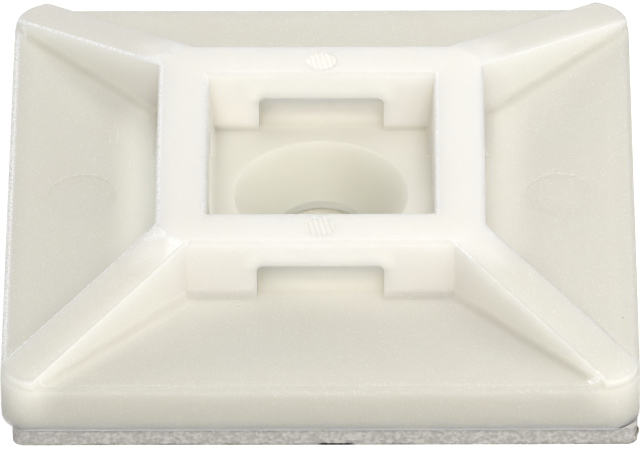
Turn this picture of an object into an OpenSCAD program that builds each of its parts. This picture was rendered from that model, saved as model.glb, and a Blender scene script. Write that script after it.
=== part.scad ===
// Square screw-or-stick mount for cable ties, with a raised ring that a tie
// can be threaded through from any of its four sides.
// Millimetres. +Z up, origin at the middle of the liner's underside.

/* [Base] */
// Length of each side of the square base
base_w = 28; // [26:0.5:36]
// Thickness of the base
base_t = 2.3; // [2:0.05:3.2]
// Radius of the base's corners, where the ribs end
corner_r = 1.4; // [1.2:0.1:2.4]
// Rounding along the base's top edge and over the ribs' ends
base_edge_r = 0.3; // [0.1:0.05:0.5]

/* [Ring] */
// Outside width of the ring where it meets the base
ring_w = 14.7; // [14:0.1:16.5]
// Height of the ring above the base
ring_h = 2.9; // [2.6:0.05:4]
// Draft of the ring's outer walls, in degrees
ring_draft = 1; // [0.5:0.25:2]
// Rounding along the ring's top edges
ring_edge_r = 0.25; // [0.1:0.05:0.4]
// Fillet where the ring and the ribs rise from the base
foot_r = 0.45; // [0.2:0.05:0.6]

/* [Window] */
// Width of the square window at the base
window_w = 9.65; // [9:0.05:10.4]
// Draft of the window's walls, in degrees
window_draft = 5; // [1:0.5:6]
// Fillet round the window's floor
window_foot_r = 0.25; // [0.1:0.05:0.4]

/* [Ribs] */
// Width of the diagonal ribs
rib_w = 2; // [1.6:0.1:2.4]
// Height of a rib above the base where it ends at the corner
rib_end_h = 0.3; // [0.2:0.05:0.8]
// Rounding along the ribs' top edges
rib_edge_r = 0.15; // [0.08:0.01:0.2]

/* [Tie slots] */
// Width of the slot through each wall of the ring
slot_w = 5.6; // [4:0.1:6]
// Height of the slots above the base
slot_h = 1.6; // [1.3:0.05:1.8]
// Rounding of the slots' upper corners
slot_corner_r = 0.3; // [0.1:0.05:0.5]

/* [Screw hole] */
// Diameter of the screw hole
screw_hole_d = 4; // [3:0.1:4.6]
// Diameter of the countersink at the top of the base
screw_head_d = 7.8; // [6:0.1:8]
// Full angle of the countersink, in degrees
screw_head_angle = 90; // [90:1:100]

/* [Ejector marks] */
// Diameter of the marks on top of the ring's front and rear walls
ring_mark_d = 1.4; // [1:0.1:1.6]
// Diameter of the marks on the base, left and right of the ring
base_mark_d = 3; // [2:0.1:3.6]
// Depth of all the marks
mark_depth = 0.05; // [0.03:0.01:0.1]

/* [Adhesive pad] */
// Thickness of the foam pad
pad_t = 0.8; // [0.5:0.05:1.6]
// How much smaller than the base the pad is, on each side
pad_inset = 0.3; // [0.1:0.05:0.6]
// How far the pad is stuck to the right of the base's middle
pad_shift_x = 0.2; // [-0.3:0.05:0.3]
// How far the pad is stuck behind the base's middle
pad_shift_y = -0.2; // [-0.3:0.05:0.3]
// Radius of the die-cut corners of the pad and its liner
pad_corner_r = 0.5; // [0.3:0.1:2]
// Room between the screw hole's wall and the hole punched in the pad
pad_hole_clearance = 0.5; // [0.45:0.05:0.8]
// Thickness of the release liner
liner_t = 0.1; // [0.08:0.01:0.2]

/* [Hidden] */
$fn = 64;
// Steps in each rounding and fillet
arc_steps = 6;
// How far cutters and blanks run past what they meet
over = 1;

body_z = liner_t + pad_t;
base_top = body_z + base_t;
half_base = base_w / 2;
half_ring = ring_w / 2;
half_window = window_w / 2;
half_slot = slot_w / 2;
half_rib = rib_w / 2;
corner_at = half_base - corner_r;

// Each ridge leaves the ring where the rib's sides meet its walls, and falls
// in a straight line to the corner.
ridge_start = half_ring * sqrt(2) - half_rib;
ridge_centre = corner_at * sqrt(2);
ridge_end = ridge_centre + corner_r;
ridge_fall = (ring_h - rib_end_h) / (ridge_end - ridge_start);
ridge_slope = atan(ridge_fall);

ring_mark_at = (half_ring + half_window) / 2;
base_mark_at = (half_ring + half_base) / 2;
cone_h = (screw_head_d - screw_hole_d) / 2 / tan(screw_head_angle / 2);

// Height of the ridge above the base, at the distance d along the diagonal.
function ridge_height(d) = ring_h - (d - ridge_start) * ridge_fall;

function mirrored(points) =
    [for (i = [len(points) - 1 : -1 : 0]) [-points[i][0], points[i][1]]];

function arc(centre, r, from, to) =
    [for (i = [0 : arc_steps])
        let (a = from + (to - from) * i / arc_steps)
        centre + r * [cos(a), sin(a)]];

// Right-hand side of a block whose wall leans in by the angle draft, from its
// foot fillet up to its rounded top edge. The foot is at height 0.
function block_side(half, h, draft, fillet_r, edge_r) =
    let (
        fillet_x = half - tan(draft) * fillet_r + fillet_r / cos(draft),
        edge_x = half - tan(draft) * (h - edge_r) - edge_r / cos(draft)
    )
    concat(
        [[fillet_x, -over]],
        arc([fillet_x, fillet_r], fillet_r, 270, 180 + draft),
        arc([edge_x, h - edge_r], edge_r, draft, 90)
    );

// The same for a hollow, whose wall leans out and whose rim is rounded over.
function hollow_side(half, h, draft, fillet_r, edge_r) =
    let (
        fillet_x = half + tan(draft) * fillet_r - fillet_r / cos(draft),
        edge_x = half + tan(draft) * (h - edge_r) + edge_r / cos(draft)
    )
    concat(
        arc([fillet_x, fillet_r], fillet_r, 270, 360 - draft),
        arc([edge_x, h - edge_r], edge_r, 180 - draft, 90),
        [[edge_x, h + over]]
    );

// A symmetrical outline in X and Z, extruded along Y.
module run(side, length)
    rotate([90, 0, 0])
        linear_extrude(height = length, center = true)
            polygon(concat(side, mirrored(side)));

// A square block or hollow, all four of whose sides have the same outline.
module crossed(side)
    intersection() {
        run(side, base_w);
        rotate([0, 0, 90]) run(side, base_w);
    }

module rounded_square(half, r) {
    square([2 * half, 2 * (half - r)], center = true);
    square([2 * (half - r), 2 * half], center = true);
    for (x = [-1, 1], y = [-1, 1])
        translate([x, y] * (half - r)) circle(r = r);
}

// The base, with a rounded top edge that also follows its corners.
module base() {
    edge = arc([-base_edge_r, base_t - base_edge_r], base_edge_r, 0, 90);
    side = concat([[half_base, 0]], [for (p = edge) p + [half_base, 0]]);
    corner = concat([[0, 0], [corner_r, 0]], [for (p = edge) p + [corner_r, 0]], [[0, base_t]]);
    run(side, 2 * corner_at);
    rotate([0, 0, 90]) run(side, 2 * corner_at);
    for (a = [0 : 90 : 270])
        rotate([0, 0, a])
            translate([corner_at, corner_at, 0])
                rotate_extrude(angle = 90) polygon(corner);
}

// All that lies under the four falling ridges, lowered by the distance drop.
module under_ridges(drop = 0) {
    eave = ridge_end + over;
    outline = [
        [-eave, -over], [eave, -over],
        [eave, max(ridge_height(eave) - drop, 0)],
        [0, ridge_height(0) - drop],
        [-eave, max(ridge_height(eave) - drop, 0)]
    ];
    intersection_for (a = [45, 135])
        rotate([90, 0, a])
            linear_extrude(height = 2 * base_w, center = true)
                polygon(outline);
}

module ring()
    intersection() {
        crossed(block_side(half_ring, ring_h, ring_draft, foot_r, ring_edge_r));
        under_ridges();
    }

// A bar under the ridge, in the ridge's own sloping frame: its top edges are
// rounded along its sides and round its end.
module ridge_bar() {
    start = (ridge_start - over - ridge_centre) / cos(ridge_slope);
    depth = ring_h + over;
    side = concat(
        [[half_rib, -depth]],
        arc([half_rib - rib_edge_r, -rib_edge_r], rib_edge_r, 0, 90)
    );
    nose = concat(
        [[0, -depth], [corner_r, -depth]],
        arc([corner_r - base_edge_r, -base_edge_r], base_edge_r, 0, 90),
        [[0, 0]]
    );
    intersection() {
        rotate([0, 0, 90]) run(side, 2 * base_w);
        union() {
            translate([start, -rib_w, -depth]) cube([-start, 2 * rib_w, depth + over]);
            rotate_extrude() polygon(nose);
        }
    }
}

// One rib, along +X from the ring to the corner.
module rib() {
    foot = concat([[half_rib + foot_r, -over]], arc([half_rib + foot_r, foot_r], foot_r, 270, 180));
    inner_half = half_base - base_edge_r;
    intersection() {
        translate([ridge_centre, 0, ridge_height(ridge_centre)])
            rotate([0, ridge_slope, 0])
                ridge_bar();
        translate([0, -rib_w, -over]) cube([ridge_end + over, 2 * rib_w, ring_h + over]);
    }
    intersection() {
        translate([ridge_end / 2 + ridge_start / 2, 0, 0])
            rotate([0, 0, 90]) run(foot, ridge_end - ridge_start + over);
        rotate([0, 0, 45]) under_ridges(rib_edge_r);
        rotate([0, 0, 45])
            translate([0, 0, -over])
                linear_extrude(height = ring_h)
                    rounded_square(inner_half, corner_r - base_edge_r);
    }
}

module ribs()
    for (a = [45 : 90 : 315]) rotate([0, 0, a]) rib();

module window()
    crossed(hollow_side(half_window, ring_h, window_draft, window_foot_r, ring_edge_r));

// One straight slot through two facing walls of the ring, along Y.
module tie_slot() {
    side = concat(
        [[half_slot, 0]],
        arc([half_slot - slot_corner_r, slot_h - slot_corner_r], slot_corner_r, 0, 90)
    );
    run(side, ring_w + 2 * foot_r + over);
}

// The countersunk screw hole, down from the top of the base.
module screw_hole() {
    translate([0, 0, -base_t - over]) cylinder(d = screw_hole_d, h = base_t + 2 * over);
    translate([0, 0, -cone_h]) cylinder(d1 = screw_hole_d, d2 = screw_head_d, h = cone_h);
}

module ejector_marks() {
    for (y = [-1, 1])
        translate([0, y * ring_mark_at, ring_h - mark_depth]) cylinder(d = ring_mark_d, h = over);
    for (x = [-1, 1])
        translate([x * base_mark_at, 0, -mark_depth]) cylinder(d = base_mark_d, h = over);
}

// Nylon moulding: base, ring and ribs in one piece.
module mount_body()
    color([0.95, 0.94, 0.9])
        difference() {
            union() {
                translate([0, 0, body_z]) base();
                translate([0, 0, base_top]) ring();
                translate([0, 0, base_top]) ribs();
            }
            translate([0, 0, base_top]) {
                window();
                tie_slot();
                rotate([0, 0, 90]) tie_slot();
                screw_hole();
                ejector_marks();
            }
        }

// Outline of the pad and its liner, with the hole punched for the screw.
module pad_outline()
    translate([pad_shift_x, pad_shift_y])
        difference() {
            rounded_square(half_base - pad_inset, pad_corner_r);
            circle(d = screw_hole_d + 2 * pad_hole_clearance);
        }

// Double-sided foam pad under the base.
module adhesive_pad()
    color([0.72, 0.71, 0.68])
        translate([0, 0, liner_t]) linear_extrude(height = pad_t) pad_outline();

// Peel-off liner under the pad.
module release_liner()
    color([0.9, 0.87, 0.78])
        linear_extrude(height = liner_t) pad_outline();

mount_body();
adhesive_pad();
release_liner();
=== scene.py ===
"""Looks of the cable tie mount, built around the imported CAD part. Metres."""

import math
import random

import bpy
import numpy as np
from mathutils import Matrix, Vector, geometry, kdtree


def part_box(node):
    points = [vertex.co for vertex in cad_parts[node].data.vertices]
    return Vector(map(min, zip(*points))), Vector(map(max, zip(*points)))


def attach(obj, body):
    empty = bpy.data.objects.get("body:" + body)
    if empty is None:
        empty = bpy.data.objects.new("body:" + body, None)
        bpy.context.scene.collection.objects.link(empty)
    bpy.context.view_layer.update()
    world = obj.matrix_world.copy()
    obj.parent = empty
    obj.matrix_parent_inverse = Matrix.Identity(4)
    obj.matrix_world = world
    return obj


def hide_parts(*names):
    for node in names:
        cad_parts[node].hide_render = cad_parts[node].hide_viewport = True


MM = 0.001

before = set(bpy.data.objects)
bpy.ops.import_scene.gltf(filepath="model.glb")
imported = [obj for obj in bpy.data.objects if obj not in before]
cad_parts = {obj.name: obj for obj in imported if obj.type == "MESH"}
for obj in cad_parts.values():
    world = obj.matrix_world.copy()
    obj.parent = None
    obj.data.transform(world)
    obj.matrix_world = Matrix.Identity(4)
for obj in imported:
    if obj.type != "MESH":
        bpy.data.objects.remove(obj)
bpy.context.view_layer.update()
scene = bpy.context.scene
scene.view_settings.view_transform = "Standard"


def srgb(r, g, b):
    """Linear RGBA of a colour written in 0-255 sRGB."""

    def channel(c):
        c /= 255
        return c / 12.92 if c <= 0.04045 else ((c + 0.055) / 1.055) ** 2.4

    return (channel(r), channel(g), channel(b), 1.0)


# ---------------------------------------------------------------- camera
CAMERA_YAW, CAMERA_ELEVATION, CAMERA_ROLL = map(math.radians, (0.374, 37.68, -0.356))
CAMERA_DISTANCE = 482.27 * MM
CAMERA_LENS_MM = 605.6528
# The camera aims at this point, left of and above the middle of the base's underside.
AIM_RIGHT, AIM_UP = -0.05420 * MM, 0.44074 * MM


def turned(a, b, angle):
    """Two perpendicular vectors turned by an angle in their own plane."""
    c, s = math.cos(angle), math.sin(angle)
    return a * c + b * s, b * c - a * s


def make_camera():
    target = Vector((0, 0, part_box("mount_body")[0].z))
    level = math.cos(CAMERA_ELEVATION)
    forward = Vector(
        (
            -math.sin(CAMERA_YAW) * level,
            math.cos(CAMERA_YAW) * level,
            -math.sin(CAMERA_ELEVATION),
        )
    )
    right = forward.cross(Vector((0, 0, 1))).normalized()
    right, up = turned(right, right.cross(forward), CAMERA_ROLL)
    eye = target - forward * CAMERA_DISTANCE
    aim = (target + right * AIM_RIGHT + up * AIM_UP - eye).normalized()
    right = (right - aim * right.dot(aim)).normalized()
    up = right.cross(aim)
    data = bpy.data.cameras.new("camera")
    data.sensor_width = 36
    data.lens = CAMERA_LENS_MM
    data.clip_start, data.clip_end = 0.01, 5
    camera = bpy.data.objects.new("camera", data)
    scene.collection.objects.link(camera)
    rotation = Matrix((right, up, -aim)).transposed()
    camera.matrix_world = Matrix.Translation(eye) @ rotation.to_4x4()
    scene.camera = camera


make_camera()


# ---------------------------------------------------------------- nodes
class Tree:
    """Short calls to build a material's node tree."""

    def __init__(self, name):
        self.material = bpy.data.materials.new(name)
        self.material.use_nodes = True
        self.tree = self.material.node_tree
        self.shader = self.tree.nodes["Principled BSDF"]

    def put(self, value, socket):
        if isinstance(value, bpy.types.NodeSocket):
            self.tree.links.new(value, socket)
        elif value is not None:
            socket.default_value = value

    def node(self, kind, **settings):
        made = self.tree.nodes.new("ShaderNode" + kind)
        for key, value in settings.items():
            setattr(made, key, value)
        return made

    def math(self, operation, *values):
        made = self.node("Math", operation=operation)
        for socket, value in zip(made.inputs, values):
            self.put(value, socket)
        return made.outputs[0]

    def product(self, *values):
        """All the values multiplied."""
        made = values[0]
        for value in values[1:]:
            made = self.math("MULTIPLY", made, value)
        return made

    def most(self, *values):
        """The largest of the values."""
        made = values[0]
        for value in values[1:]:
            made = self.math("MAXIMUM", made, value)
        return made

    def split(self, vector):
        """A vector's three coordinates."""
        made = self.node("SeparateXYZ")
        self.put(vector, made.inputs[0])
        return made.outputs[:3]

    def spread(self, value, low, high, to_low=0.0, to_high=1.0, smooth=False):
        """The value mapped from low..high to to_low..to_high, and held past them."""
        made = self.node(
            "MapRange", interpolation_type="SMOOTHSTEP" if smooth else "LINEAR"
        )
        for socket, v in zip(made.inputs, (value, low, high, to_low, to_high)):
            self.put(v, socket)
        return made.outputs[0]

    def ramp(self, value, stops):
        made = self.node("ValToRGB")
        elements = made.color_ramp.elements
        while len(elements) < len(stops):
            elements.new(0.5)
        for element, (position, colour) in zip(elements, stops):
            element.position, element.color = position, colour
        self.put(value, made.inputs[0])
        return made.outputs[0]

    def mix(self, factor, a, b, blend="MIX"):
        made = self.node("Mix", data_type="RGBA", blend_type=blend)
        for socket, value in zip(
            (made.inputs[0], made.inputs[6], made.inputs[7]), (factor, a, b)
        ):
            self.put(value, socket)
        return made.outputs[2]

    def noise(self, where, scale, detail=2.0, roughness=0.5):
        made = self.node("TexNoise")
        for key, value in (
            ("Vector", where),
            ("Scale", scale),
            ("Detail", detail),
            ("Roughness", roughness),
        ):
            self.put(value, made.inputs[key])
        return made.outputs[0]

    def voronoi(self, where, scale):
        made = self.node("TexVoronoi")
        self.put(where, made.inputs["Vector"])
        self.put(scale, made.inputs["Scale"])
        return made

    def millimetres(self):
        """Object coordinates in millimetres."""
        scaled = self.node("VectorMath", operation="SCALE")
        self.put(self.node("TexCoord").outputs["Object"], scaled.inputs[0])
        self.put(1 / MM, scaled.inputs["Scale"])
        return scaled.outputs[0]

    def bump(self, height, distance, normal=None):
        made = self.node("Bump")
        for key, value in (
            ("Height", height),
            ("Distance", distance),
            ("Normal", normal),
        ):
            self.put(value, made.inputs[key])
        return made.outputs[0]

    def set(self, **sockets):
        for name, value in sockets.items():
            self.put(value, self.shader.inputs[name.replace("_", " ")])
        return self.material


# ---------------------------------------------------------------- stage
FLOOR_HALF = 1.5
# Seen by the camera, the lit floor and its own glow add up to white.
FLOOR_GREY, FLOOR_GLOW = 0.8, 0.6


def make_stage():
    half = FLOOR_HALF
    mesh = bpy.data.meshes.new("floor")
    mesh.from_pydata(
        [(-half, -half, 0), (half, -half, 0), (half, half, 0), (-half, half, 0)],
        [],
        [(0, 1, 2, 3)],
    )
    floor = bpy.data.objects.new("floor", mesh)
    scene.collection.objects.link(floor)
    t = Tree("floor")
    path = t.node("LightPath")
    seen = t.most(
        path.outputs["Is Camera Ray"],
        path.outputs["Is Glossy Ray"],
        path.outputs["Is Transmission Ray"],
    )
    t.set(Base_Color=(FLOOR_GREY, FLOOR_GREY, FLOOR_GREY, 1), Roughness=0.9)
    t.put((1, 1, 1, 1), t.shader.inputs["Emission Color"])
    t.put(t.product(seen, FLOOR_GLOW), t.shader.inputs["Emission Strength"])
    mesh.materials.append(t.material)

    world = bpy.data.worlds.new("world")
    world.use_nodes = True
    tree = world.node_tree
    background = tree.nodes["Background"]
    path = tree.nodes.new("ShaderNodeLightPath")
    seen = tree.nodes.new("ShaderNodeMath")
    seen.operation = "MAXIMUM"
    tree.links.new(path.outputs["Is Camera Ray"], seen.inputs[0])
    tree.links.new(path.outputs["Is Transmission Ray"], seen.inputs[1])
    level = tree.nodes.new("ShaderNodeMapRange")
    tree.links.new(seen.outputs[0], level.inputs["Value"])
    level.inputs["To Min"].default_value = WORLD_LEVEL
    level.inputs["To Max"].default_value = 1.0
    tree.links.new(level.outputs[0], background.inputs["Strength"])
    background.inputs["Color"].default_value = (1, 1, 1, 1)
    scene.world = world


# The world lights nothing: only the camera and transmission rays see it, as white.
WORLD_LEVEL = 0.0
# Name, azimuth from the front towards the right, elevation, distance, size and
# level. At level 1 the lamp alone shows a white surface facing it as white.
LAMPS = [
    ("front_high", 0, 50, 0.6, (0.4, 0.3), 0.92),
    ("right_front", 50, 30, 0.12, (0.06, 0.06), 0.11),
    ("right_near", 75, 45, 0.09, (0.05, 0.05), 0.17),
    ("back_right", 155, 58, 0.07, (0.03, 0.03), 0.18),
    ("left_edges", 210, 24, 0.5, (0.18, 0.18), 0.3),
    ("back_mirror", 180, 38, 0.5, (0.12, 0.12), 0.05),
]


def make_lamps():
    target = Vector((0, 0, 3 * MM))
    for name, azimuth, elevation, distance, size, level in LAMPS:
        a, e = math.radians(azimuth), math.radians(elevation)
        away = Vector(
            (math.sin(a) * math.cos(e), -math.cos(a) * math.cos(e), math.sin(e))
        )
        data = bpy.data.lights.new(name, "AREA")
        data.shape = "RECTANGLE"
        data.size, data.size_y = size
        data.energy = level * (math.pi * distance) ** 2
        lamp = bpy.data.objects.new(name, data)
        scene.collection.objects.link(lamp)
        lamp.location = target + away * distance
        lamp.rotation_mode = "QUATERNION"
        lamp.rotation_quaternion = away.to_track_quat("Z", "Y")


make_stage()
make_lamps()


# ---------------------------------------------------------------- nylon
# Millimetres, as in the part: heights, then half widths and radii seen from above.
body_low, body_high = (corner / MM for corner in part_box("mount_body"))
BASE_UNDER, BASE_TOP, RING_TOP, SLOT_TOP = body_low.z, 3.2, body_high.z, 4.8
BASE_HALF, RING_HALF, WINDOW_HALF = body_high.x, 7.35, 4.95
RIB_HALF, SLOT_HALF = 1.0, 2.8
HOLE_R, HEAD_R = 2.0, 3.9
# Each ejector mark on the ring: its centre and its roughness. The rear one is polished.
RING_MARKS = (((0, 6.1), 0.12), ((0, -6.1), 0.34))
RING_MARK_R = 0.68
# The patch of scratches: centre and radius.
SCRATCHES_AT, SCRATCHES_R = (-9.0, 3.4), 1.5
# How the roundings that face the front lamp are told apart.
TOWARDS_LAMP = (0, -0.64, 0.77)


def disc(t, x, y, centre, radius, soft):
    """1 inside a disc seen from above, in millimetres, and 0 outside."""
    dx, dy = t.math("SUBTRACT", x, centre[0]), t.math("SUBTRACT", y, centre[1])
    distance = t.math("SQRT", t.math("ADD", t.product(dx, dx), t.product(dy, dy)))
    return t.spread(distance, radius - soft, radius + soft, 1.0, 0.0, smooth=True)


class Place:
    """Where a point of the moulding lies, in millimetres, and how it faces."""

    def __init__(self, t):
        self.mm = t.millimetres()
        self.x, self.y, self.z = t.split(self.mm)
        self.facing = t.node("TexCoord").outputs["Normal"]
        self.nx, self.ny, self.nz = t.split(self.facing)
        self.wide, self.deep = t.math("ABSOLUTE", self.x), t.math("ABSOLUTE", self.y)
        self.square = t.math("MAXIMUM", self.wide, self.deep)
        self.narrow = t.math("MINIMUM", self.wide, self.deep)
        self.radius = t.math(
            "SQRT",
            t.math("ADD", t.product(self.x, self.x), t.product(self.y, self.y)),
        )
        # Distance from the nearest rib's middle, and 1 in the left and right bays.
        self.off_rib = t.product(
            t.math("SUBTRACT", self.square, self.narrow), math.sqrt(0.5)
        )
        self.beside = t.math("GREATER_THAN", self.wide, self.deep)
        # 1 where the surface carries the mould's grain: not inside the window.
        self.textured = t.math(
            "MAXIMUM",
            t.spread(self.square, WINDOW_HALF, WINDOW_HALF + 0.3),
            t.spread(self.z, RING_TOP - 0.4, RING_TOP - 0.1),
        )


def base_colour(t, at):
    """The base, with painted light glowing at the foot of the ring and ribs, and
    painted shade on its outer rim and down its sides.
    """
    # Painted light: the floor is lightened at the foot of the ring and ribs, as if lit
    # by light scattered out of them, and more so on the left, where the ring shades its
    # foot from the right lamps.
    ring_glow = t.product(
        t.spread(at.square, RING_HALF - 0.1, RING_HALF + 2.4, 1.0, 0.0, smooth=True),
        t.spread(at.beside, 0, 1, 0.25, 1.0),
    )
    rib_glow = t.spread(at.off_rib, RIB_HALF, RIB_HALF + 1.2, 0.5, 0.0, smooth=True)
    from_left = t.spread(at.x, -RING_HALF + 0.35, RING_HALF - 0.35)
    painted_glow = t.mix(from_left, srgb(252, 249, 240), srgb(234, 231, 222))
    floor = t.mix(t.most(ring_glow, rib_glow), srgb(213, 210, 201), painted_glow)
    # Painted shade: the outer rim is darkened against the front lamp's light on its
    # rounding.
    rim = t.product(
        t.spread(at.square, BASE_HALF - 1.0, BASE_HALF - 0.2),
        t.spread(at.off_rib, RIB_HALF + 0.2, RIB_HALF + 1.0),
    )
    floor = t.mix(rim, floor, srgb(206, 203, 194))
    # Painted shade: the sides darken towards the bottom.
    height = t.spread(at.z, BASE_UNDER, BASE_TOP + 0.1, smooth=True)
    colour = t.mix(height, srgb(206, 202, 190), floor)
    # Painted light: a lighter line along the foot of the sides, against the shade where
    # they meet the pad.
    lower_edge = t.spread(at.z, BASE_UNDER + 0.1, BASE_UNDER + 0.25, 0.7, 0.0)
    return t.mix(lower_edge, colour, srgb(232, 229, 219))


def window_colour(t, at):
    """The window's floor, with painted light towards the right, and the countersink,
    darkened with painted shade.
    """
    # Painted light: the floor lightens towards the right, where the right wall shades
    # it from the right lamps.
    to_right = t.spread(at.x, 1.5, WINDOW_HALF - 0.15)
    floor = t.mix(to_right, srgb(218, 215, 205), srgb(238, 234, 225))
    # Painted shade: the countersink is darkened towards the hole.
    bowl = t.spread(at.radius, HOLE_R - 0.1, HEAD_R + 0.7, smooth=True)
    return t.mix(bowl, srgb(208, 205, 190), floor)


def raised_colour(t, at):
    """The ring and the ribs, with painted light making their flanks lighter than their
    tops.
    """
    # Painted light on the flanks of the ribs.
    lit_flank = t.spread(at.nz, 0.4, 0.8, 1.0, 0.0)
    rib = t.mix(lit_flank, srgb(220, 217, 209), srgb(237, 235, 228))
    outside = t.spread(at.square, RING_HALF, RING_HALF + 1.5, smooth=True)
    return t.mix(outside, srgb(234, 231, 226), rib)


def light_slots(t, at, colour):
    """Painted light: the thin wall over each slot is painted as glowing, and the slots
    as lit through it.
    """
    roof = t.product(
        t.spread(
            at.narrow, SLOT_HALF - 0.2, SLOT_HALF + 0.8, 1.0, 0.0, smooth=True
        ),
        t.spread(at.z, RING_TOP - 0.2, RING_TOP - 1.1, smooth=True),
        t.spread(at.z, SLOT_TOP - 0.2, SLOT_TOP),
    )
    # Painted light: the wall over each slot is lightened as a glow.
    colour = t.mix(t.product(roof, 0.9), colour, srgb(253, 250, 241))
    # Painted light inside the front and rear slots: the part further from the camera is
    # lighter.
    tunnel = t.product(
        t.spread(at.wide, SLOT_HALF - 0.05, SLOT_HALF + 0.05, 1.0, 0.0),
        t.spread(at.square, WINDOW_HALF, WINDOW_HALF + 0.3),
        t.spread(at.square, RING_HALF - 0.3, RING_HALF, 1.0, 0.0),
        t.spread(at.z, SLOT_TOP - 0.1, SLOT_TOP + 0.1, 1.0, 0.0),
    )
    rear = t.math("GREATER_THAN", at.y, 0.0)
    inwards = t.math("ADD", at.y, t.spread(rear, 0, 1, RING_HALF, -WINDOW_HALF))
    slot_light = t.mix(
        t.spread(inwards, 0.2, 2.1), srgb(218, 214, 203), srgb(255, 253, 247)
    )
    return t.mix(tunnel, colour, slot_light)


def resin_and_glints(t, at, colour):
    """Faint warm and greenish patches, fine lighter flecks that are painted glints, and
    a few dark specks.
    """
    patch = t.noise(at.mm, 0.16, 2)
    tint = t.ramp(patch, [(0.3, srgb(254, 255, 253)), (0.7, srgb(255, 254, 252))])
    colour = t.mix(1.0, colour, tint, "MULTIPLY")
    # Painted glints: fine lighter flecks where the grain would catch the light.
    painted_glint = t.spread(t.noise(at.mm, 9.0, 2, 0.65), 0.56, 0.72)
    colour = t.mix(t.product(painted_glint, at.textured, 0.3), colour, srgb(250, 249, 246))
    cell = t.voronoi(at.mm, 0.33).outputs["Distance"]
    speck = t.spread(cell, 0.012, 0.02, 1.0, 0.0)
    return t.mix(t.product(speck, 0.5), colour, srgb(120, 116, 100))


def scratched(t, at, colour):
    """Handling scratches on the left of the base."""
    lengthened = t.node("Mapping")
    t.put(at.mm, lengthened.inputs["Vector"])
    lengthened.inputs["Rotation"].default_value = (0, 0, math.radians(-14))
    lengthened.inputs["Scale"].default_value = (9.0, 0.6, 1.0)
    scratch = t.product(
        t.spread(t.noise(lengthened.outputs[0], 1.0, 1), 0.66, 0.7),
        disc(t, at.x, at.y, SCRATCHES_AT, SCRATCHES_R, 0.8),
        t.spread(at.z, BASE_TOP - 0.1, BASE_TOP),
    )
    return t.mix(t.product(scratch, 0.45), colour, srgb(246, 245, 240))


def dull_roundings(t, at, colour):
    """Roundings that face the front lamp are a shade duller."""
    towards = t.node("VectorMath", operation="DOT_PRODUCT")
    t.put(at.facing, towards.inputs[0])
    towards.inputs[1].default_value = TOWARDS_LAMP
    duller = t.product(
        t.spread(towards.outputs["Value"], 0.84, 0.98),
        t.spread(at.radius, HEAD_R + 0.1, HEAD_R + 0.3),
    )
    shade = t.mix(1.0, colour, srgb(232, 231, 228), "MULTIPLY")
    return t.mix(t.product(duller, 0.5), colour, shade)


def highlight_edges(t, at):
    """1 on the edges that carry a painted highlight: those facing the left, towards the
    left lamp, and round the window.
    """
    leftwards = t.product(
        t.spread(at.nx, -0.22, -0.1, 1.0, 0.0), t.spread(at.nz, 0.25, 0.4)
    )
    high = t.spread(at.z, RING_TOP - 0.6, RING_TOP - 0.4)
    ring = t.product(
        leftwards,
        high,
        t.spread(at.square, RING_HALF - 0.6, RING_HALF - 0.5),
        t.spread(at.narrow, RING_HALF - 0.75, RING_HALF - 0.45, 1.0, 0.0),
    )
    window = t.product(
        t.spread(t.math("ABSOLUTE", at.nx), 0.1, 0.25),
        high,
        t.spread(at.square, RING_HALF - 1.6, RING_HALF - 1.5, 0.7, 0.0),
    )
    rib = t.product(
        t.spread(at.off_rib, RIB_HALF - 0.16, RIB_HALF - 0.12),
        t.spread(at.off_rib, RIB_HALF, RIB_HALF + 0.04, 1.0, 0.0),
        t.spread(at.nz, 0.4, 0.6),
        t.spread(at.z, BASE_TOP + 0.2, BASE_TOP + 0.3),
        t.spread(at.square, RING_HALF - 0.4, RING_HALF),
        t.math("LESS_THAN", at.x, 0.0),
        at.beside,
    )
    base = t.product(
        leftwards,
        t.spread(at.square, BASE_HALF - 0.6, BASE_HALF - 0.5),
        t.spread(at.narrow, BASE_HALF - 2.2, BASE_HALF - 1.4, 0.8, 0.0),
    )
    return t.most(ring, window, rib, base)


def grinding_lines(t, at):
    wave = t.node("TexWave", wave_type="BANDS", bands_direction="X")
    slanted = t.node("Mapping")
    t.put(at.mm, slanted.inputs["Vector"])
    slanted.inputs["Rotation"].default_value = (0, 0, math.radians(-12))
    t.put(slanted.outputs[0], wave.inputs["Vector"])
    for key, value in (("Scale", 1.35), ("Distortion", 1.2), ("Detail Scale", 1.5)):
        wave.inputs[key].default_value = value
    return wave.outputs["Fac"]


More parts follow.
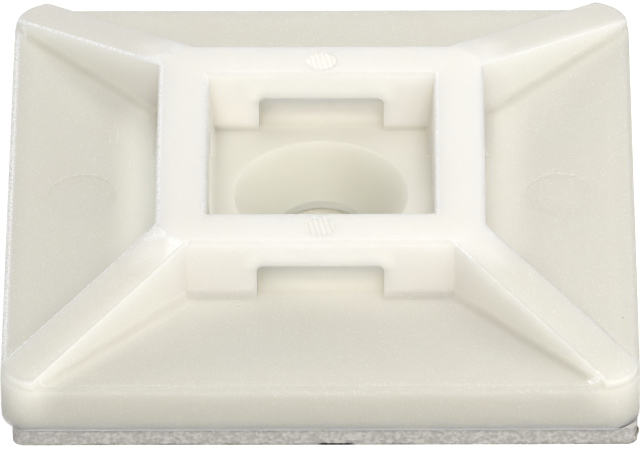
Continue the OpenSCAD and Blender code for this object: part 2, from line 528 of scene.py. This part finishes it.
def nylon():
    """Natural nylon. Its colour holds painted light: thick parts, which scatter more
    light back, are painted whitest.
    """
    t = Tree("natural_nylon")
    at = Place(t)
    within = t.spread(
        at.square, WINDOW_HALF - 0.3, WINDOW_HALF + 0.1, 1.0, 0.0, smooth=True
    )
    colour = t.mix(within, base_colour(t, at), window_colour(t, at))
    raised = t.spread(at.z, BASE_TOP, BASE_TOP + 0.35)
    colour = t.mix(raised, colour, raised_colour(t, at))
    colour = light_slots(t, at, colour)
    colour = resin_and_glints(t, at, colour)
    colour = scratched(t, at, colour)
    colour = dull_roundings(t, at, colour)

    highlight_edge = highlight_edges(t, at)
    # Painted highlights: the edges are whitened in dots, where light would glint on
    # them.
    dots = t.spread(t.noise(at.mm, 11.0, 1), 0.4, 0.55, 0.25, 1.0)
    colour = t.mix(t.product(highlight_edge, dots), colour, srgb(254, 253, 250))

    on_top = t.spread(at.z, RING_TOP - 0.15, RING_TOP - 0.1)
    marks = [
        t.product(on_top, disc(t, at.x, at.y, centre, RING_MARK_R, 0.03))
        for centre, _ in RING_MARKS
    ]
    mark, lined = t.most(*marks), grinding_lines(t, at)
    scored = t.product(t.spread(lined, 0.55, 0.9), mark)
    colour = t.mix(t.product(scored, 0.35), colour, srgb(206, 203, 196))

    grain = t.noise(at.mm, 9.0, 3, 0.6)
    rough = t.spread(grain, 0.35, 0.65, 0.52, 0.62)
    rough = t.math("SUBTRACT", rough, t.product(highlight_edge, 0.28))
    for each, (_, level) in zip(marks, RING_MARKS):
        around = t.product(rough, t.spread(each, 0, 1, 1, 0))
        rough = t.math("ADD", around, t.product(each, level))
    relief = t.product(
        grain,
        t.spread(at.textured, 0, 1, 0.15, 1.0),
        t.spread(mark, 0, 1, 1, 0.05),
        t.spread(highlight_edge, 0, 1, 1, 2.5),
    )
    normal = t.bump(t.noise(at.mm, 0.45, 1), 0.02 * MM)
    normal = t.bump(relief, 0.012 * MM, normal)
    normal = t.bump(t.product(lined, mark), 0.004 * MM, normal)
    return t.set(
        Base_Color=colour,
        Roughness=rough,
        Normal=normal,
        Specular_IOR_Level=0.3,
        Subsurface_Weight=1.0,
        Subsurface_Radius=(1.0, 0.98, 0.93),
        Subsurface_Scale=2.5 * MM,
    )


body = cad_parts["mount_body"]
body.data.materials.clear()
body.data.materials.append(nylon())


# ---------------------------------------------------------------- foam
def rounded_outline(low, high, radius, step):
    """Points and outward normals along a rounded rectangle."""
    points, normals = [], []
    corners = [
        (high.x - radius, low.y + radius, -90),
        (high.x - radius, high.y - radius, 0),
        (low.x + radius, high.y - radius, 90),
        (low.x + radius, low.y + radius, 180),
    ]
    for i, (cx, cy, start) in enumerate(corners):
        turns = max(4, round(radius * math.pi / 2 / step))
        for j in range(turns + 1):
            a = math.radians(start + 90 * j / turns)
            normals.append((math.cos(a), math.sin(a)))
            points.append((cx + radius * math.cos(a), cy + radius * math.sin(a)))
        nx, ny, begin = corners[(i + 1) % 4]
        a = math.radians(begin)
        goal = (nx + radius * math.cos(a), ny + radius * math.sin(a))
        last = points[-1]
        length = math.dist(last, goal)
        count = max(1, round(length / step))
        for j in range(1, count):
            f = j / count
            points.append(
                (last[0] + (goal[0] - last[0]) * f, last[1] + (goal[1] - last[1]) * f)
            )
            normals.append((math.cos(a), math.sin(a)))
    return np.array(points), np.array(normals)


def cell_depth(along, up, length, height, cell, seed):
    """How deep each point of a cut foam face lies in its cell, from 0 to 1."""
    rng = random.Random(seed)
    count = int(length * height / (cell * cell) * 1.6)
    tree = kdtree.KDTree(count * 3)
    radii = []
    for i in range(count):
        s, h = rng.uniform(0, length), rng.uniform(-cell / 2, height + cell / 2)
        radius = cell * rng.uniform(0.35, 0.8)
        for k, shift in enumerate((-length, 0, length)):
            tree.insert((s + shift, h, 0), i * 3 + k)
        radii.append(radius)
    tree.balance()
    depth = np.zeros(len(along))
    for n, (s, h) in enumerate(zip(along, up)):
        for _, index, distance in tree.find_n((s, h, 0), 4):
            radius = radii[index // 3]
            if distance < radius:
                depth[n] = max(
                    depth[n], math.sqrt(1 - (distance / radius) ** 2) * radius / cell
                )
    return np.clip(depth / 0.8, 0, 1)


def foam_wall(points, normals, low, high, step, cell, pit, seed):
    """Rows of vertices up a cut face, pitted by its cells, and each one's depth."""
    rows = round((high - low) / step) + 1
    edges = np.linalg.norm(np.roll(points, -1, 0) - points, axis=1)
    running = np.concatenate([[0], np.cumsum(edges)[:-1]])
    along = np.tile(running, rows)
    up = np.repeat(np.linspace(0, high - low, rows), len(points))
    depth = cell_depth(along, up, edges.sum(), high - low, cell, seed)
    flat = np.tile(points, (rows, 1)) - np.tile(normals, (rows, 1)) * (
        depth[:, None] * pit
    )
    return np.column_stack([flat, low + up]), depth, rows


# The pad's corner radius, its hole's radius and the number of points round the hole.
PAD_CORNER_R, PAD_HOLE_R, HOLE_POINTS = 0.5 * MM, 2.5 * MM, 260
# Spacing of the other points, size of a foam cell and depth of a cut one.
STEP, CELL, PIT = 0.06 * MM, 0.14 * MM, 0.04 * MM
# The hole's cells get less painted shade, coloured as less deep than the outline's.
HOLE_CELLS = 0.3


def wall_row(row, count, start, inwards):
    """One row of faces of a closed wall, whose vertices begin at start."""
    low, high = start + row * count, start + (row + 1) * count
    faces = []
    for i in range(count):
        k = (i + 1) % count
        if inwards:
            faces.append((low + k, low + i, high + i, high + k))
        else:
            faces.append((low + i, low + k, high + k, high + i))
    return faces


def cap(verts, outer, inner, top):
    """Triangles between the outline and the hole, facing up at the top."""
    index = [*outer, *inner]
    loops = [[Vector(verts[v]) for v in loop] for loop in (outer, inner)]
    faces = []
    for triangle in geometry.tessellate_polygon(loops):
        face = [index[v] for v in triangle]
        p, q, r = (Vector(verts[v]) for v in face)
        upwards = (q - p).cross(r - p).z > 0
        faces.append(tuple(face if upwards == top else reversed(face)))
    return faces


def foam():
    """Grey foam, with painted shade deep in its cells and painted light, pale and warm,
    round the hole.
    """
    t = Tree("foam")
    mm = t.millimetres()
    depth = t.node("Attribute", attribute_name="cell_depth").outputs["Fac"]
    # Painted shade: darker the deeper a point lies in its cell.
    greys = [
        (0.0, srgb(199, 196, 190)),
        (0.4, srgb(189, 186, 181)),
        (1.0, srgb(170, 167, 162)),
    ]
    colour = t.ramp(depth, greys)
    speck = t.spread(t.noise(mm, 6, 2), 0.3, 0.7, 0.9, 1.05)
    shade = t.ramp(speck, [(0, (0, 0, 0, 1)), (1, (1, 1, 1, 1))])
    colour = t.mix(1.0, colour, shade, "MULTIPLY")
    from_hole = t.node("VectorMath", operation="LENGTH")
    t.put(mm, from_hole.inputs[0])
    # Painted light: pale and warm round the hole, where the foam lies in shade.
    near_hole = t.spread(from_hole.outputs["Value"], 3.0, 3.4, 0.8, 0.0)
    colour = t.mix(near_hole, colour, srgb(226, 223, 203))
    return t.set(Base_Color=colour, Roughness=0.85)


def foam_pad():
    """The soft pad, in place of the CAD one: its cut sides show open cells."""
    low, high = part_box("adhesive_pad")
    centre = (low + high) / 2
    outer, outer_normals = rounded_outline(low, high, PAD_CORNER_R, STEP)
    angles = np.linspace(0, 2 * math.pi, HOLE_POINTS, endpoint=False)
    circle = np.column_stack([np.cos(angles), np.sin(angles)])
    inner = circle * PAD_HOLE_R + np.array([centre.x, centre.y])
    side, side_depth, rows = foam_wall(
        outer, outer_normals, low.z, high.z, STEP, CELL, PIT, 1
    )
    hole, hole_depth, _ = foam_wall(inner, -circle, low.z, high.z, STEP, CELL, PIT, 2)
    verts = np.concatenate([side, hole])
    n, m = len(outer), len(inner)
    hole_start = rows * n
    faces = []
    for row in range(rows - 1):
        faces += wall_row(row, n, 0, False)
        faces += wall_row(row, m, hole_start, True)
    for row, top in ((0, False), (rows - 1, True)):
        outline = range(row * n, row * n + n)
        rim = range(hole_start + row * m, hole_start + row * m + m)
        faces += cap(verts, outline, rim, top)
    mesh = bpy.data.meshes.new("foam_pad")
    mesh.from_pydata(verts.tolist(), [], faces)
    attribute = mesh.attributes.new("cell_depth", "FLOAT", "POINT")
    depth = np.concatenate([side_depth, HOLE_CELLS * hole_depth])
    attribute.data.foreach_set("value", depth.astype(np.float32))
    mesh.validate()
    pad = bpy.data.objects.new("foam_pad", mesh)
    scene.collection.objects.link(pad)
    mesh.materials.append(foam())
    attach(pad, "root")
    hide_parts("adhesive_pad")


foam_pad()


# ---------------------------------------------------------------- liner
# The painted shadow of a gap under the front edge, in millimetres: it begins and ends
# along X over these stretches, and fades towards the back over the third.
GAP_SHADOW_BEGINS, GAP_SHADOW_ENDS, GAP_SHADOW_BACK = (-0.25, 0.1), (1.2, 1.7), (-13.0, -13.4)


def paper():
    """Release paper: fibres, darker patches, and a painted shadow of a gap on its front
    edge.
    """
    t = Tree("liner_paper")
    mm = t.millimetres()
    x, y, _ = t.split(mm)
    fibre = t.spread(t.noise(mm, 5.0, 3, 0.6), 0.35, 0.65)
    colour = t.mix(fibre, srgb(160, 157, 150), srgb(196, 193, 186))
    # Darker patches along the paper.
    dark_patches = t.spread(t.noise(mm, 0.35, 3, 0.6), 0.42, 0.62)
    colour = t.mix(t.product(dark_patches, 0.6), colour, srgb(112, 108, 102))
    # Painted shadow: near black where a gap under the front edge would be in shade.
    gap_shadow = t.product(
        t.spread(x, *GAP_SHADOW_BEGINS, smooth=True),
        t.spread(x, *GAP_SHADOW_ENDS, 1.0, 0.0, smooth=True),
        t.spread(y, *GAP_SHADOW_BACK),
    )
    colour = t.mix(gap_shadow, colour, srgb(34, 31, 28))
    return t.set(Base_Color=colour, Roughness=0.7)


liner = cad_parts["release_liner"]
liner.data.materials.clear()
liner.data.materials.append(paper())


# ---------------------------------------------------------------- curl
CURL_AT = Vector((13.72, -13.74, 0.52)) * MM
CURL_HALF_WIDTH, CURL_HALF_HEIGHT, CURL_LEAN = 0.24 * MM, 0.36 * MM, 0.09 * MM
CURL_DEPTH, FILM, CURL_POINTS = 0.2 * MM, 0.035 * MM, 48


def film_curl():
    """The pad's carrier film, curled into a small loop at the front right corner."""
    across = Vector((1, 0.25, 0)).normalized()
    outward = Vector((0.25, -1, 0)).normalized()
    verts, faces = [], []
    for i in range(CURL_POINTS):
        a = 2 * math.pi * i / CURL_POINTS
        lean = CURL_LEAN * math.sin(a)
        for inner, back in ((0, 0), (0, 1), (1, 1), (1, 0)):
            half_width = CURL_HALF_WIDTH - FILM * inner
            half_height = CURL_HALF_HEIGHT - FILM * inner
            verts.append(
                CURL_AT
                + across * (half_width * math.cos(a) + lean)
                + Vector((0, 0, half_height * math.sin(a)))
                - outward * (CURL_DEPTH * back)
            )
        k = (i + 1) % CURL_POINTS
        for j in range(4):
            m = (j + 1) % 4
            faces.append((i * 4 + j, k * 4 + j, k * 4 + m, i * 4 + m))
    mesh = bpy.data.meshes.new("film_curl")
    mesh.from_pydata([tuple(v) for v in verts], [], faces)
    mesh.validate()
    curl = bpy.data.objects.new("film_curl", mesh)
    scene.collection.objects.link(curl)
    t = Tree("film")
    mesh.materials.append(t.set(Base_Color=srgb(176, 172, 164), Roughness=0.35))
    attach(curl, "root")


film_curl()
